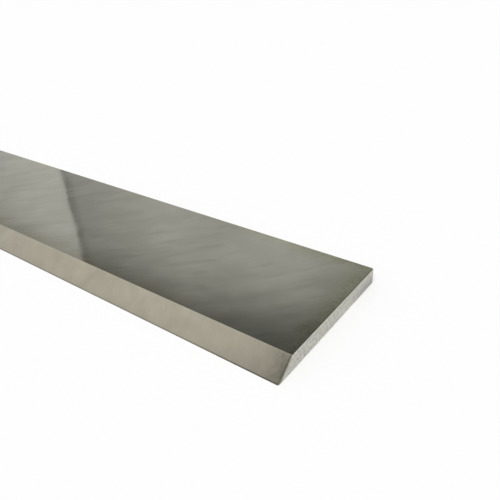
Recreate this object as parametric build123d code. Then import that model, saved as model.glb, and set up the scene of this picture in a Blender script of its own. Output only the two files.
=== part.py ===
from build123d import *

import os
from math import cos, radians, sin, tan

# A straight planer knife: one ground bar of high-speed steel with a single bevel along its
# front edge. All sizes are in millimetres and degrees. X runs along the knife, -Y is the
# cutting side, and Z is up from the flat back face that the knife lies on.

# Bar
LENGTH = 310.0
WIDTH = 30.0
THICKNESS = 3.0

# Cutting edge: the main bevel, and the narrow honed land that ends it
BEVEL_ANGLE = 40.0
LAND_ANGLE = 46.0
LAND_WIDTH = 0.22

# Edges broken against burrs: along the rear, across both ends, and at the rear corners
REAR_BREAK = 0.25
END_BREAK = 0.15
CORNER_BREAK = 0.4

END = LENGTH / 2
SIDE = WIDTH / 2
LAND_RISE = LAND_WIDTH * sin(radians(LAND_ANGLE))
LAND_RUN = LAND_WIDTH * cos(radians(LAND_ANGLE))
BEVEL_RUN = (THICKNESS - LAND_RISE) / tan(radians(BEVEL_ANGLE))


def end_view():
    """Cross-section as (y, z), from the cutting edge along the back face and over the top."""
    return [
        (-SIDE, 0),
        (SIDE - REAR_BREAK, 0),
        (SIDE, REAR_BREAK),
        (SIDE, THICKNESS - REAR_BREAK),
        (SIDE - REAR_BREAK, THICKNESS),
        (-SIDE + LAND_RUN + BEVEL_RUN, THICKNESS),
        (-SIDE + LAND_RUN, LAND_RISE),
    ]


def front_view():
    """Outline as (x, z), with the edges across both ends broken."""
    return [
        (-END + END_BREAK, 0),
        (END - END_BREAK, 0),
        (END, END_BREAK),
        (END, THICKNESS - END_BREAK),
        (END - END_BREAK, THICKNESS),
        (-END + END_BREAK, THICKNESS),
        (-END, THICKNESS - END_BREAK),
        (-END, END_BREAK),
    ]


def top_view():
    """Outline as (x, y), with the two rear corners broken."""
    return [
        (-END, -SIDE),
        (END, -SIDE),
        (END, SIDE - CORNER_BREAK),
        (END - CORNER_BREAK, SIDE),
        (-END + CORNER_BREAK, SIDE),
        (-END, SIDE - CORNER_BREAK),
    ]


def prism(plane, outline, reach):
    """An outline on one of the main planes, drawn out by the same reach to both its sides."""
    return extrude(plane * make_face(Polyline(*outline, close=True)), amount=reach, both=True)


def planer_knife():
    """The finished knife: what its three views have in common, as one solid."""
    bar = prism(Plane.YZ, end_view(), LENGTH)
    bar = bar & prism(Plane.XZ, front_view(), WIDTH)
    return bar & prism(Plane.XY, top_view(), THICKNESS)


os.makedirs("parts", exist_ok=True)
export_step(planer_knife(), "parts/planer_knife.step")
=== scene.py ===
from math import cos, pi, radians, sin, sqrt, tan

import bmesh
import bpy
from mathutils import Matrix, Vector


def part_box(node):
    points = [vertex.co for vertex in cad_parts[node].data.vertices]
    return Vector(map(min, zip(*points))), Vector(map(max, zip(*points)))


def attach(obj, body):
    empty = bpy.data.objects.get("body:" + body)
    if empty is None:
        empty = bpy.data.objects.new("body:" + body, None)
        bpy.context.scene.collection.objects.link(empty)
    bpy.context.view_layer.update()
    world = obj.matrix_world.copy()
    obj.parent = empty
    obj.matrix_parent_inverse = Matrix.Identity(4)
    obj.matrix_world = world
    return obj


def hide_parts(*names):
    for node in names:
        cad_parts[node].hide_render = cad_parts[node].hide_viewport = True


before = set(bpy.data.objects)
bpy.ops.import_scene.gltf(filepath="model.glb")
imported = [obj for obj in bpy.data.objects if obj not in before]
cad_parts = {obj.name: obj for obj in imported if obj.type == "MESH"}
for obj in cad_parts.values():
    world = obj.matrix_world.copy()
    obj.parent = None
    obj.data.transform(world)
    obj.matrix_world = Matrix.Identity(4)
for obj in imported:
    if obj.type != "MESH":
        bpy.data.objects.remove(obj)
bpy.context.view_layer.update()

# The knife lies on its back face along X, with its cutting edge on the -Y side. Everything is
# in metres, except where a name ends in _MM.
MM = 0.001

# The knife's size comes from its box in the frame; its bevel, land and edge breaks repeat the
# solid's
END, SIDE, THICKNESS = Vector(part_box("planer_knife")[1])
BEVEL_ANGLE = radians(40.0)
LAND_ANGLE = radians(46.0)
LAND_WIDTH = 0.22 * MM
REAR_BREAK = 0.25 * MM
END_BREAK = 0.15 * MM
CORNER_BREAK = 0.4 * MM

# Rounding that only the finished surface has, along the heel of the bevel. The corners of the
# cutting edge are rounded there too, as much as the rear corners.
HEEL_ROUND = 0.08 * MM
ROUND_STEPS = 5

# What follows from them: the land's rise and run, and where the heel of the bevel lies
LAND_RISE = LAND_WIDTH * sin(LAND_ANGLE)
LAND_RUN = LAND_WIDTH * cos(LAND_ANGLE)
HEEL = -SIDE + LAND_RUN + (THICKNESS - LAND_RISE) / tan(BEVEL_ANGLE)

# Camera: where it stands from the middle of the right-hand end, and where it looks
CAMERA_FROM_END = Vector((30.19, -58.78, 54.2)) * MM
CAMERA_HEADING = radians(37.83)
CAMERA_PITCH = radians(-31.06)
CAMERA_ROLL = radians(-2.95)
FRAME_PIXELS = 500.0
FOCAL_PIXELS = 530.94
SENSOR_WIDTH_MM = 36.0
NEAREST_SEEN = 0.002
FARTHEST_SEEN = 50.0

# Studio: a plain room that the steel reflects, centred on the part of the knife in view
ROOM_CENTRE = Vector((0.12, 0.0, 0.0))
ROOM_DEPTH = 1.4
ROOM_REACH = 3.6
ROOM_HEIGHT = 2.6
FLOOR_SIZE = 12.0
FLOOR_LEVEL = 0.98
SKY_LEVEL = 0.35
LAMP_FROM = Vector((0.45, -0.6, 1.3))
LAMP_SPREAD = radians(50.0)
LAMP_LEVEL = 0.66


def put(tree, socket, value):
    """Feed a shader input with another node's output, or set it to a plain value."""
    if isinstance(value, bpy.types.NodeSocket):
        tree.links.new(value, socket)
    else:
        socket.default_value = value


def node(tree, kind, inputs=None, **settings):
    """Add one shader node, with its settings and its inputs by name or number."""
    made = tree.nodes.new(kind)
    for name, value in settings.items():
        setattr(made, name, value)
    for name, value in (inputs or {}).items():
        put(tree, made.inputs[name], value)
    return made


def maths(tree, operation, *values):
    made = node(tree, "ShaderNodeMath", dict(enumerate(values)), operation=operation)
    return made.outputs[0]


def vector_maths(tree, operation, first, second):
    made = node(tree, "ShaderNodeVectorMath", {0: first, 1: second}, operation=operation)
    return made.outputs[0]


def add(tree, first, second):
    return maths(tree, "ADD", first, second)


def subtract(tree, first, second):
    return maths(tree, "SUBTRACT", first, second)


def multiply(tree, first, second):
    return maths(tree, "MULTIPLY", first, second)


def divide(tree, first, second):
    return maths(tree, "DIVIDE", first, second)


def span(tree, value, low, high, to_low=0.0, to_high=1.0, smooth=False):
    """Carry a value from one range to another, held at both ends."""
    inputs = {"Value": value, "From Min": low, "From Max": high, "To Min": to_low, "To Max": to_high}
    kind = "SMOOTHSTEP" if smooth else "LINEAR"
    return node(tree, "ShaderNodeMapRange", inputs, interpolation_type=kind).outputs["Result"]


def weighted(tree, *pairs):
    """Add values together, each with its own share."""
    total = 0.0
    for share, value in pairs:
        total = add(tree, total, multiply(tree, value, share))
    return total


def combine(tree, x, y, z=0.0):
    return node(tree, "ShaderNodeCombineXYZ", {"X": x, "Y": y, "Z": z}).outputs[0]


def noise(tree, vector, scale=1.0, detail=2.0):
    inputs = {"Vector": vector, "Scale": scale, "Detail": detail}
    return node(tree, "ShaderNodeTexNoise", inputs).outputs["Fac"]


def streaks(tree, across, along, spacing, length, detail=2.0, seed=0.0):
    """Noise drawn out into streaks of a given spacing and length, in millimetres."""
    u = divide(tree, across, spacing)
    v = divide(tree, along, length)
    return noise(tree, combine(tree, u, v, seed), detail=detail)


def place_mm(tree):
    """The point on the knife, in millimetres, as three separate outputs."""
    coordinate = node(tree, "ShaderNodeTexCoord").outputs["Object"]
    scaled = node(tree, "ShaderNodeVectorMath", {0: coordinate, "Scale": 1 / MM}, operation="SCALE")
    split = node(tree, "ShaderNodeSeparateXYZ", {0: scaled.outputs[0]})
    return split.outputs["X"], split.outputs["Y"], split.outputs["Z"]


# The colour mixer's sockets: its two colours and its result, behind those for other kinds
MIX_FIRST, MIX_SECOND, MIX_RESULT = 6, 7, 2


def mix_colour(tree, factor, first, second):
    inputs = {"Factor": factor, MIX_FIRST: first, MIX_SECOND: second}
    return node(tree, "ShaderNodeMix", inputs, data_type="RGBA").outputs[MIX_RESULT]


def opaque(colour):
    """A colour with the fourth number that colour sockets ask for."""
    return (*colour, 1.0)


def grey(level):
    return opaque((level, level, level))


def empty_material(name):
    material = bpy.data.materials.new(name)
    material.use_nodes = True
    material.node_tree.nodes.clear()
    return material, material.node_tree


def cover(tree, shader):
    """Make a shader the surface of its material."""
    node(tree, "ShaderNodeOutputMaterial", {"Surface": shader.outputs[0]})


# Stains and darker patches, by the colour that a face takes on: olive tarnish and dark specks at the
# edges, straw left along the heel by the heat of grinding, dull ends of the bevel, and a darker colour
# low on the ends near the rear corner
OLIVE = (0.45, 0.45, 0.25)
SPECKLED = (0.22, 0.22, 0.14)
STRAW = (0.56, 0.53, 0.4)
DULLED = (0.3, 0.307, 0.26)
# The colour that the ends take on low down near the rear corner, darker than the rest of the end
LOW_REAR_DARKER = (0.3, 0.29, 0.28)

# How far in each stain goes, and how much of its colour shows where it is strongest
TARNISH_REACH_MM = 4.5
TARNISH_SHARE = 0.7
TARNISH_AT_HEEL = 0.75
DULLING_REACH_MM = 3.0
DULLING_SHARE = 0.9
SPECKS_REACH_MM = 2.6
SPECKS_SHARE = 0.3
STRAW_REACH_MM = 4.0

# The rear edge counts as this much further off for each millimetre from the end
REAR_LAG = 0.07

# Straw colour begins this far from an end, and is full this far
STRAW_BEGINS_MM = 8.0
STRAW_FULL_MM = 24.0

# The darker colour low on the ends is full up to the first distance, from the rear edge and from the
# back face, and gone at the second
LOW_DARKENING_FORWARD_MM = (3.0, 9.0)
LOW_DARKENING_UPWARD_MM = (1.0, 2.4)


def fading(tree, distance, full, reach):
    """One up to where a stain is full, and falling to nothing at its reach."""
    return span(tree, distance, full, reach, to_low=1.0, to_high=0.0)


def from_end(tree, x):
    return subtract(tree, END / MM, maths(tree, "ABSOLUTE", x))


def from_rear(tree, y):
    return subtract(tree, SIDE / MM, y)


def from_edge(tree, x, y):
    """How far a point lies from an end, or from the rear edge where that is near an end."""
    end = from_end(tree, x)
    rear = add(tree, from_rear(tree, y), multiply(tree, end, REAR_LAG))
    return maths(tree, "MINIMUM", end, rear)


def tarnish(tree, x, y, z, reach, most):
    """Tarnish in patches, from a third of the most to all of it at an edge, and none at the reach."""
    mottling = noise(tree, combine(tree, x, y, z), scale=1.5, detail=3.0)
    share = span(tree, mottling, 0.35, 0.65, to_low=most / 3, to_high=most)
    return multiply(tree, fading(tree, from_edge(tree, x, y), 0.0, reach), share)


def face_tarnish(tree, x, y, z):
    """The wide faces' tarnish, which grows from the heel to the rear."""
    growth = span(tree, y, HEEL / MM, SIDE / MM, to_low=TARNISH_AT_HEEL)
    return multiply(tree, tarnish(tree, x, y, z, TARNISH_REACH_MM, TARNISH_SHARE), growth)


def bevel_tarnish(tree, x, y, z):
    return tarnish(tree, x, y, z, DULLING_REACH_MM, DULLING_SHARE)


def edge_specks(tree, x, y, z):
    """Small dark specks, close together at the edges and sparser further in."""
    close = fading(tree, from_edge(tree, x, y), 0.0, SPECKS_REACH_MM)
    specks = noise(tree, combine(tree, x, y, z), scale=1.7, detail=3.0)
    raised = weighted(tree, (1.0, specks), (0.1, close))
    share = span(tree, raised, 0.52, 0.72, to_high=SPECKS_SHARE)
    return multiply(tree, share, span(tree, close, 0.0, 0.4))


def heel_straw(tree, x, y, z):
    """Straw colour behind the heel, in patches, and fading out towards the ends."""
    behind = fading(tree, subtract(tree, y, HEEL / MM), 0.0, STRAW_REACH_MM)
    patchy = span(tree, noise(tree, combine(tree, x, y), scale=0.25), 0.3, 0.6)
    inward = span(tree, from_end(tree, x), STRAW_BEGINS_MM, STRAW_FULL_MM)
    return multiply(tree, behind, multiply(tree, patchy, inward))


# Darkens each end low down near its rear corner, as a colour of the end's surface
def darker_low_at_rear(tree, x, y, z):
    """Darker colour on an end, low down near its rear corner."""
    near = fading(tree, from_rear(tree, y), *LOW_DARKENING_FORWARD_MM)
    low = fading(tree, z, *LOW_DARKENING_UPWARD_MM)
    patchy = span(tree, noise(tree, combine(tree, y, z), scale=1.2), 0.3, 0.6, to_low=0.5)
    return multiply(tree, multiply(tree, near, low), patchy)


# Lapping marks on the wide faces: arcs left by a cup wheel of this radius, whose centre line
# runs this far behind the middle of the knife
WHEEL_RADIUS_MM = 150.0
WHEEL_OFFSET_MM = 96.0


def across_arcs(tree, x, y):
    """How far along the knife a point's arc lies."""
    away = subtract(tree, y, WHEEL_OFFSET_MM)
    under = subtract(tree, WHEEL_RADIUS_MM**2, multiply(tree, away, away))
    return subtract(tree, x, maths(tree, "SQRT", under))


def patches(tree, x, y, seed):
    """Where the lapping marks show, from 0 to 1, in stretches of a few millimetres."""
    return span(tree, noise(tree, combine(tree, x, y, seed), scale=0.16, detail=1.0), 0.42, 0.66)


def scores(tree, x, y, arc):
    """The few deeper scratches that follow the lapping marks, from 0 to 1."""
    lines = streaks(tree, arc, y, spacing=2.8, length=8.0, detail=1.0, seed=21.0)
    return multiply(tree, span(tree, lines, 0.55, 0.7), patches(tree, x, y, seed=9.0))


def lapped_height(tree, x, y, z):
    """A slight unevenness, waves in patches, and coarse, fine and scored lapping marks."""
    arc = across_arcs(tree, x, y)
    uneven = noise(tree, combine(tree, x, y), scale=0.05, detail=1.0)
    waves = streaks(tree, arc, y, spacing=3.4, length=10.0, detail=1.0)
    patchy = multiply(tree, waves, patches(tree, x, y, seed=0.0))
    coarse = streaks(tree, arc, y, spacing=0.8, length=6.0, seed=3.0)
    fine = streaks(tree, arc, y, spacing=0.12, length=3.0, seed=7.0)
    scored = scores(tree, x, y, arc)
    return weighted(tree, (3.0, uneven), (0.6, patchy), (0.03, coarse), (0.014, fine), (-0.12, scored))


def lapped_marks(tree, x, y, z):
    """Broad lapping marks in patches, fine ones, long clouds, and dark scores."""
    arc = across_arcs(tree, x, y)
    broad = streaks(tree, arc, y, spacing=2.4, length=8.0, detail=1.0, seed=11.0)
    patchy = multiply(tree, broad, patches(tree, x, y, seed=5.0))
    fine = streaks(tree, arc, y, spacing=0.35, length=4.0, seed=13.0)
    cloud = streaks(tree, arc, y, spacing=4.5, length=34.0, seed=15.0)
    scored = scores(tree, x, y, arc)
    mixed = weighted(tree, (0.4, patchy), (0.12, fine), (0.58, cloud), (-0.5, scored))
    return span(tree, mixed, 0.24, 0.64)


def bevel_height(tree, x, y, z):
    """Grinding marks that run across the bevel, from coarse to fine."""
    coarse = streaks(tree, x, y, spacing=1.3, length=9.0, detail=1.0, seed=1.0)
    middle = streaks(tree, x, y, spacing=0.3, length=6.0, seed=5.0)
    fine = streaks(tree, x, y, spacing=0.09, length=4.0, detail=1.0, seed=9.0)
    return weighted(tree, (1.0, coarse), (0.5, middle), (0.12, fine))


def bevel_marks(tree, x, y, z):
    lines = streaks(tree, x, y, spacing=0.45, length=5.0, seed=17.0)
    cloud = noise(tree, combine(tree, x, y, z), scale=0.28, detail=3.0)
    return span(tree, weighted(tree, (0.2, lines), (0.8, cloud)), 0.34, 0.66)


def end_height(tree, x, y, z):
    """Ground marks that lean across an end, and a grain."""
    slanted = weighted(tree, (1.0, y), (0.5, z))
    lines = streaks(tree, slanted, z, spacing=0.28, length=1.6, seed=2.0)
    grain = noise(tree, combine(tree, y, z), scale=3.0, detail=3.0)
    return weighted(tree, (1.0, lines), (0.4, grain))


def end_marks(tree, x, y, z):
    speckle = noise(tree, combine(tree, y, z, x), scale=2.0, detail=3.0)
    lines = streaks(tree, y, z, spacing=0.35, length=2.0, seed=4.0)
    return span(tree, weighted(tree, (0.65, speckle), (0.35, lines)), 0.38, 0.62)


def rear_height(tree, x, y, z):
    """Long marks that run along the rear edge."""
    return streaks(tree, z, x, spacing=0.18, length=30.0, seed=6.0)


def rear_marks(tree, x, y, z):
    lines = streaks(tree, z, x, spacing=0.3, length=26.0, seed=8.0)
    cloud = noise(tree, combine(tree, x, z), scale=0.2)
    return span(tree, weighted(tree, (0.5, lines), (0.5, cloud)), 0.34, 0.66)


def steel(name, colours, roughness, height, depth, marks, stains=()):
    """Ground steel: two colours and two roughnesses that the marks move between, and a relief.

    Each stain is where it lies, as a function that gives 0 to 1, and its colour.
    """
    material, tree = empty_material(name)
    x, y, z = place_mm(tree)
    wear = marks(tree, x, y, z)
    colour = mix_colour(tree, wear, *map(opaque, colours))
    for where, stain in stains:
        colour = mix_colour(tree, where(tree, x, y, z), colour, opaque(stain))
    relief = {"Height": height(tree, x, y, z), "Strength": 1.0, "Distance": depth}
    inputs = {
        "Base Color": colour,
        "Metallic": 1.0,
        "Roughness": span(tree, wear, 0.0, 1.0, *roughness),
        "Normal": node(tree, "ShaderNodeBump", relief).outputs[0],
    }
    cover(tree, node(tree, "ShaderNodeBsdfPrincipled", inputs))
    return material


# One finish for each kind of surface. The order is the order of the mesh's material slots.
LAPPED, BEVEL, LAND, ENDS, REAR, BREAKS = range(6)


def knife_finishes():
    return [
        steel(
            "lapped_face",
            colours=((0.515, 0.515, 0.435), (0.615, 0.61, 0.52)),
            roughness=(0.05, 0.08),
            height=lapped_height,
            depth=0.012 * MM,
            marks=lapped_marks,
            stains=((heel_straw, STRAW), (face_tarnish, OLIVE), (edge_specks, SPECKLED)),
        ),
        steel(
            "ground_bevel",
            colours=((0.53, 0.523, 0.445), (0.635, 0.627, 0.53)),
            roughness=(0.14, 0.2),
            height=bevel_height,
            depth=0.0028 * MM,
            marks=bevel_marks,
            stains=((bevel_tarnish, DULLED),),
        ),
        steel(
            "honed_land",
            colours=((0.6, 0.595, 0.51), (0.64, 0.635, 0.55)),
            roughness=(0.1, 0.14),
            height=bevel_height,
            depth=0.001 * MM,
            marks=bevel_marks,
        ),
        steel(
            "ground_end",
            colours=((0.34, 0.34, 0.3), (0.6, 0.6, 0.535)),
            roughness=(0.3, 0.45),
            height=end_height,
            depth=0.02 * MM,
            marks=end_marks,
            stains=((darker_low_at_rear, LOW_REAR_DARKER),),
        ),
        steel(
            "ground_rear",
            colours=((0.5, 0.495, 0.43), (0.6, 0.595, 0.52)),
            roughness=(0.28, 0.4),
            height=rear_height,
            depth=0.006 * MM,
            marks=rear_marks,
        ),
        steel(
            "broken_edges",
            colours=((0.54, 0.535, 0.455), (0.58, 0.575, 0.49)),
            roughness=(0.22, 0.3),
            height=bevel_height,
            depth=0.002 * MM,
            marks=bevel_marks,
        ),
    ]


def rounded(corner, before, after, radius):
    """Points of an arc that rounds a corner between two neighbours, starting on the first side."""
    to_before = (before - corner).normalized()
    to_after = (after - corner).normalized()
    half = to_before.angle(to_after) / 2
    reach = radius / tan(half)
    middle = corner + (to_before + to_after).normalized() * (radius / sin(half))
    start = corner + to_before * reach - middle
    turn = start.angle_signed(corner + to_after * reach - middle)
    points = []
    for step in range(ROUND_STEPS + 1):
        spin = Matrix.Rotation(-turn * step / ROUND_STEPS, 2)
        points.append(middle + spin @ start)
    return points


def fallen_away(distance, radius):
    """How far a rounded edge has drawn in, at a distance from the end of the knife."""
    if distance >= radius:
        return 0.0
    return radius - sqrt(radius**2 - (radius - distance) ** 2)


def section(distance):
    """The section at a distance from an end: (y, z) points, each with the finish of the side after it."""
    drawn_in = fallen_away(distance, CORNER_BREAK)
    low = fallen_away(distance, END_BREAK)
    high = THICKNESS - low
    tip = Vector((-SIDE + drawn_in + low / tan(LAND_ANGLE), low))
    heel_of_land = Vector((-SIDE + drawn_in + LAND_RUN, LAND_RISE))
    heel = Vector((HEEL - low / tan(BEVEL_ANGLE), high))
    low_rear = Vector((SIDE - drawn_in, low))
    high_rear = Vector((SIDE - drawn_in, high))
    outline = [(tip, LAPPED)]
    for corner, before, after, radius, finish in (
        (low_rear, tip, high_rear, REAR_BREAK, REAR),
        (high_rear, low_rear, heel, REAR_BREAK, LAPPED),
        (heel, high_rear, heel_of_land, HEEL_ROUND, BEVEL),
    ):
        *arc, last = rounded(corner, before, after, radius)
        outline += [(point, BREAKS) for point in arc]
        outline.append((last, finish))
    outline.append((heel_of_land, LAND))
    return outline


# Decimals of a metre to which the rings' places are told apart
PLACE_DECIMALS = 9


def stations():
    """Distances from an end at which the knife gets a ring of points, nearest the end first."""
    quarter = [pi / 2 * step / ROUND_STEPS for step in range(ROUND_STEPS + 1)]
    distances = [radius * (1 - sin(angle)) for radius in (END_BREAK, CORNER_BREAK) for angle in quarter]
    return sorted({round(distance, PLACE_DECIMALS) for distance in distances})


def ring_at(mesh, x):
    """One ring of points round the knife."""
    return [mesh.verts.new((x, point.x, point.y)) for point, _ in section(END - abs(x))]


def knife_mesh():
    """A skin over rings of points along the knife, closed by its two ends."""
    mesh = bmesh.new()
    left = [-END + distance for distance in stations()]
    places = left + [-x for x in reversed(left)]
    rings = [ring_at(mesh, x) for x in places]
    finishes = [finish for _, finish in section(END)]
    for near, far, ring, following in zip(places, places[1:], rings, rings[1:]):
        on_break = max(abs(near), abs(far)) > END - END_BREAK / 2
        for index, finish in enumerate(finishes):
            after = (index + 1) % len(finishes)
            face = mesh.faces.new((ring[index], ring[after], following[after], following[index]))
            face.material_index = BREAKS if on_break and finish == LAPPED else finish
    for ring in (rings[0], rings[-1]):
        mesh.faces.new(ring).material_index = ENDS
    bmesh.ops.recalc_face_normals(mesh, faces=mesh.faces)
    return mesh


def shade(mesh):
    """Shade the skin smooth, but for the sharp edges of the honed land."""
    for face in mesh.faces:
        face.smooth = True
    for edge in mesh.edges:
        met = {face.material_index for face in edge.link_faces}
        edge.smooth = LAND not in met or len(met) == 1


# How strongly the larger of the faces that meet at a point decides its shading, up to 100
LARGE_FACE_WEIGHT = 100


def make_knife():
    mesh = knife_mesh()
    shade(mesh)
    data = bpy.data.meshes.new("knife_body")
    mesh.to_mesh(data)
    mesh.free()
    for finish in knife_finishes():
        data.materials.append(finish)
    knife = bpy.data.objects.new("knife_body", data)
    bpy.context.collection.objects.link(knife)
    normals = knife.modifiers.new("flat_faces_stay_flat", "WEIGHTED_NORMAL")
    normals.mode = "FACE_AREA"
    normals.weight = LARGE_FACE_WEIGHT
    normals.keep_sharp = True
    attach(knife, "root")
    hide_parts("planer_knife")


def stage_panel(material, corners):
    """A flat piece of the studio, named as its material is."""
    data = bpy.data.meshes.new(material.name)
    data.from_pydata([tuple(corner) for corner in corners], [], [tuple(range(len(corners)))])
    data.materials.append(material)
    made = bpy.data.objects.new(material.name, data)
    bpy.context.collection.objects.link(made)
    return made


def glow(material, tree, colour):
    """Let a material give off its own light, which reflections see and no lamp's rays look for."""
    cover(tree, node(tree, "ShaderNodeEmission", {"Color": colour, "Strength": 1.0}))
    material.cycles.emission_sampling = "NONE"


def level_ramp(tree, value, stops):
    """Brightness along straight lines through (value, level) stops, in rising order."""
    low, high = stops[0][0], stops[-1][0]
    made = node(tree, "ShaderNodeValToRGB", {"Fac": span(tree, value, low, high)})
    elements = made.color_ramp.elements
    inner = [elements.new((place - low) / (high - low)) for place, _ in stops[1:-1]]
    for element, (_, level) in zip([elements[0], *inner, elements[-1]], stops):
        element.color = grey(level)
    return made.outputs["Color"]


def room_place(tree):
    """How far along the studio a point lies, and how high, in room depths."""
    position = node(tree, "ShaderNodeNewGeometry").outputs["Position"]
    moved = vector_maths(tree, "SUBTRACT", position, ROOM_CENTRE)
    split = node(tree, "ShaderNodeSeparateXYZ", {0: moved})
    return divide(tree, split.outputs["X"], ROOM_DEPTH), divide(tree, split.outputs["Z"], ROOM_DEPTH)


NEUTRAL = (1.0, 1.0, 1.0)
WARM = (1.0, 0.94, 0.88)


def wall_material(name, rising, along=None, lean=None, beyond=None, tint=NEUTRAL):
    """A wall that gives off its own soft light, by height, and where asked by its length too.

    A lean raises what is seen at each height, further along, and beyond a place the wall turns
    into one with other brightnesses by height.
    """
    material, tree = empty_material(name)
    place, height = room_place(tree)
    if lean:
        height = add(tree, height, level_ramp(tree, place, lean))
    level = level_ramp(tree, height, rising)
    if beyond:
        start, stop, other = beyond
        turned = span(tree, place, start, stop, smooth=True)
        level = mix_colour(tree, turned, level, level_ramp(tree, height, other))
    if along:
        level = vector_maths(tree, "MULTIPLY", level, level_ramp(tree, place, along))
    glow(material, tree, vector_maths(tree, "MULTIPLY", level, tint))
    return material


# Brightness of each wall by height, as (height, level), and along it, as (place, factor)
RIGHT_RISING = [(0.0, 0.85), (0.5, 0.62), (1.0, 0.5), (1.86, 0.4)]
FAR_RISING = [
    (0.0, 0.85), (0.39, 0.66), (0.59, 0.56), (0.92, 0.475), (1.02, 0.385), (1.145, 0.18),
    (1.225, 0.115), (1.36, 0.09), (2.3, 0.09),
]
FAR_ALONG = [
    (-1.93, 0.48), (-1.62, 0.48), (-1.595, 0.55), (-1.565, 0.75), (-1.35, 0.86), (-1.195, 0.96),
    (-1.04, 1.06), (-0.875, 0.95), (-0.645, 1.12), (-0.42, 0.86), (0.1, 0.6), (0.8, 1.0), (1.86, 1.0),
]
FAR_LEAN = [
    (-1.665, 0.0), (-1.195, 0.056), (-0.885, 0.084), (-0.575, 0.184), (-0.215, 0.347), (1.86, 0.347),
]
FAR_BEYOND = (0.0, 1.0, RIGHT_RISING)
PANEL_RISING = [
    (0.0, 0.85), (0.41, 0.66), (0.695, 0.57), (0.88, 0.56), (0.95, 0.55), (1.0, 0.5), (1.07, 0.39),
    (1.33, 0.32), (1.86, 0.3),
]
PANEL_ALONG = [(-2.7, 0.85), (-2.08, 0.9), (-1.79, 1.04), (-1.56, 1.04)]
NEAR_RISING = [
    (0.0, 0.85), (0.54, 0.55), (0.685, 0.36), (0.93, 0.36), (1.075, 0.58), (1.145, 0.65),
    (1.28, 0.71), (1.86, 0.72),
]
NEAR_ALONG = [
    (-1.86, 1.0), (-0.86, 1.02), (-0.757, 0.8), (-0.617, 0.5), (-0.217, 0.4), (0.2, 0.7), (1.86, 0.9),
]
LEFT_RISING = [(0.0, 0.85), (0.5, 0.6), (0.95, 0.47), (1.07, 0.55), (1.86, 0.6)]
CEILING_LEVEL = 0.85

# The pale panel before the left of the far wall: its edge in room depths, and how far it stands out
PANEL_EDGE = -1.613
PANEL_GAP = 0.01


def ceiling_material():
    material, tree = empty_material("ceiling")
    glow(material, tree, grey(CEILING_LEVEL))
    return material


def upright(start, stop):
    """The corners of a wall that stands on the floor between two points."""
    up = Vector((0.0, 0.0, ROOM_HEIGHT))
    return start, stop, stop + up, start + up


def room_panel(material, corners):
    """A piece of the room, which only the steel's reflections see."""
    made = stage_panel(material, corners)
    made.visible_camera = False
    made.visible_diffuse = False
    made.visible_shadow = False
    made.visible_transmission = False


def make_room():
    """Four walls, a ceiling, and the pale panel before the far wall."""
    reach, depth = ROOM_REACH, ROOM_DEPTH
    plan = ((-reach, depth), (reach, depth), (reach, -depth), (-reach, -depth))
    corners = [ROOM_CENTRE + Vector((x, y, 0.0)) for x, y in plan]
    walls = (
        wall_material("far_wall", FAR_RISING, FAR_ALONG, FAR_LEAN, FAR_BEYOND),
        wall_material("right_wall", RIGHT_RISING),
        wall_material("near_wall", NEAR_RISING, NEAR_ALONG, tint=WARM),
        wall_material("left_wall", LEFT_RISING),
    )
    for wall, start, stop in zip(walls, corners, corners[1:] + corners[:1]):
        room_panel(wall, upright(start, stop))
    above = Vector((0.0, 0.0, ROOM_HEIGHT))
    room_panel(ceiling_material(), [corner + above for corner in corners])
    ends = [ROOM_CENTRE + Vector((x, depth - PANEL_GAP, 0.0)) for x in (-reach, PANEL_EDGE * depth)]
    room_panel(wall_material("pale_panel", PANEL_RISING, PANEL_ALONG), upright(*ends))


def make_floor():
    half = FLOOR_SIZE / 2
    material, tree = empty_material("floor")
    cover(tree, node(tree, "ShaderNodeBsdfDiffuse", {"Color": grey(FLOOR_LEVEL)}))
    stage_panel(material, [(-half, -half, 0), (half, -half, 0), (half, half, 0), (-half, half, 0)])


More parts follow.
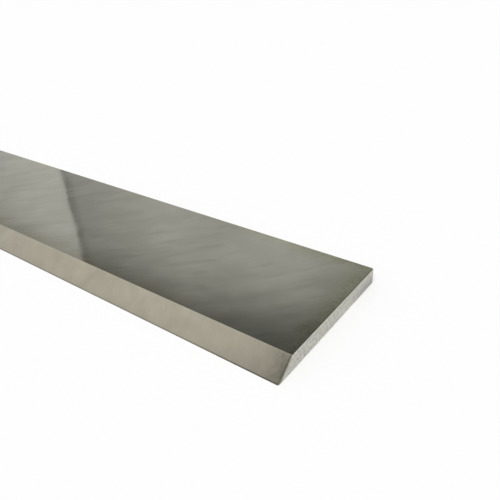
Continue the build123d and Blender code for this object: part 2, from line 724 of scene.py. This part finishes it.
def make_world():
    """White where it is seen directly or in a reflection, and a little less as a light."""
    world = bpy.data.worlds.new("studio")
    bpy.context.scene.world = world
    world.use_nodes = True
    tree = world.node_tree
    tree.nodes.clear()
    path = node(tree, "ShaderNodeLightPath")
    seen = maths(tree, "MAXIMUM", path.outputs["Is Camera Ray"], path.outputs["Is Glossy Ray"])
    seen = maths(tree, "MAXIMUM", seen, path.outputs["Is Transmission Ray"])
    strength = span(tree, seen, 0.0, 1.0, to_low=SKY_LEVEL)
    sky = node(tree, "ShaderNodeBackground", {"Color": grey(1.0), "Strength": strength})
    node(tree, "ShaderNodeOutputWorld", {"Surface": sky.outputs[0]})


def make_lamp():
    """One wide soft lamp, far off above the near right side, which the steel doesn't mirror."""
    data = bpy.data.lights.new("soft_lamp", "SUN")
    data.angle = LAMP_SPREAD
    data.energy = LAMP_LEVEL * pi / LAMP_FROM.normalized().z
    lamp = bpy.data.objects.new("soft_lamp", data)
    bpy.context.collection.objects.link(lamp)
    lamp.location = ROOM_CENTRE + LAMP_FROM
    lamp.rotation_mode = "QUATERNION"
    lamp.rotation_quaternion = (-LAMP_FROM).to_track_quat("-Z", "Y")
    lamp.visible_glossy = False


def make_camera():
    data = bpy.data.cameras.new("camera")
    data.sensor_fit = "HORIZONTAL"
    data.sensor_width = SENSOR_WIDTH_MM
    data.lens = FOCAL_PIXELS / FRAME_PIXELS * SENSOR_WIDTH_MM
    data.clip_start = NEAREST_SEEN
    data.clip_end = FARTHEST_SEEN
    camera = bpy.data.objects.new("camera", data)
    bpy.context.collection.objects.link(camera)
    camera.location = Vector((END, 0.0, 0.0)) + CAMERA_FROM_END
    heading = Matrix.Rotation(CAMERA_HEADING, 4, "Z")
    tilt = Matrix.Rotation(pi / 2 + CAMERA_PITCH, 4, "X")
    roll = Matrix.Rotation(CAMERA_ROLL, 4, "Z")
    camera.rotation_mode = "QUATERNION"
    camera.rotation_quaternion = (heading @ tilt @ roll).to_quaternion()
    bpy.context.scene.camera = camera


def main():
    make_camera()
    make_world()
    make_lamp()
    make_floor()
    make_room()
    make_knife()
    bpy.context.scene.view_settings.view_transform = "Standard"


main()
